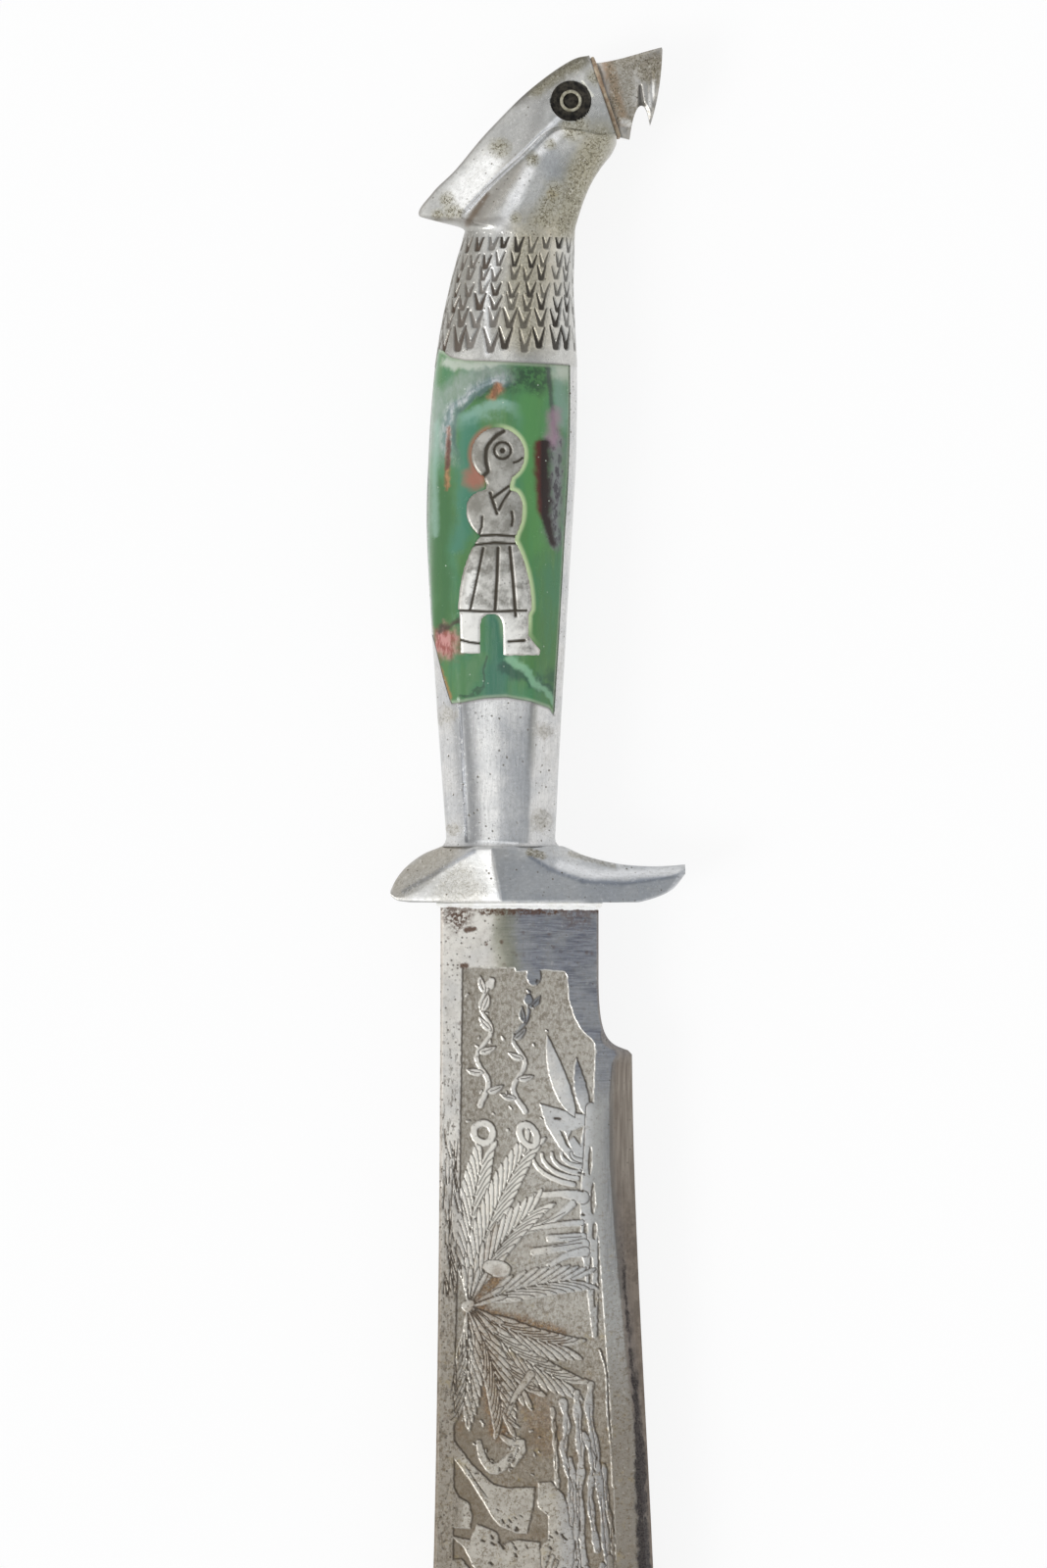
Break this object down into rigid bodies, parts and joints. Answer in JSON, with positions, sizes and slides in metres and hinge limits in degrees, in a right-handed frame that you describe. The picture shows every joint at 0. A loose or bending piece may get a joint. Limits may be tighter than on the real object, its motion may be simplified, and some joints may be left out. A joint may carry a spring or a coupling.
{
  "type": "engraved knife",
  "caption": "Fixed-blade knife with an etched clip-point blade, horned guard and cast eagle-head hilt set with a figure in coloured resin.",
  "frame": {"origin": "middle of the box's foot: the knife lies on its side, on the ridge of its guard", "axes": "+Y along the knife towards the pommel, +X towards the cutting edge, +Z out of the shown face"},
  "size_m": [0.0466, 0.3408, 0.0188],
  "materials": {
    "blade_steel": "satin, etched, lightly rusted",
    "solder": "bright",
    "cast_aluminium": "hand-filed and polished",
    "pitch": "matt",
    "pin_steel": "plain",
    "swirled_resin": "polished",
    "figure_metal": "engraved",
    "eye_enamel": "glossy",
    "eyelet": "satin",
    "braze": "dull"
  },
  "bodies": {
    "root": {"blade": "blade_steel", "root_solder": "solder", "guard": "cast_aluminium", "tang_bedding": "pitch", "grip_frame": "cast_aluminium", "tang_pin_lower": "pin_steel", "tang_pin_upper": "pin_steel", "front_inlay": "swirled_resin", "back_inlay": "swirled_resin", "front_figure": "figure_metal", "back_figure": "figure_metal", "eagle_head": "cast_aluminium", "eye_enamel": "eye_enamel", "eye_eyelet": "eyelet", "beak_braze": "braze", "beak": "cast_aluminium"}
  },
  "joints": []
}
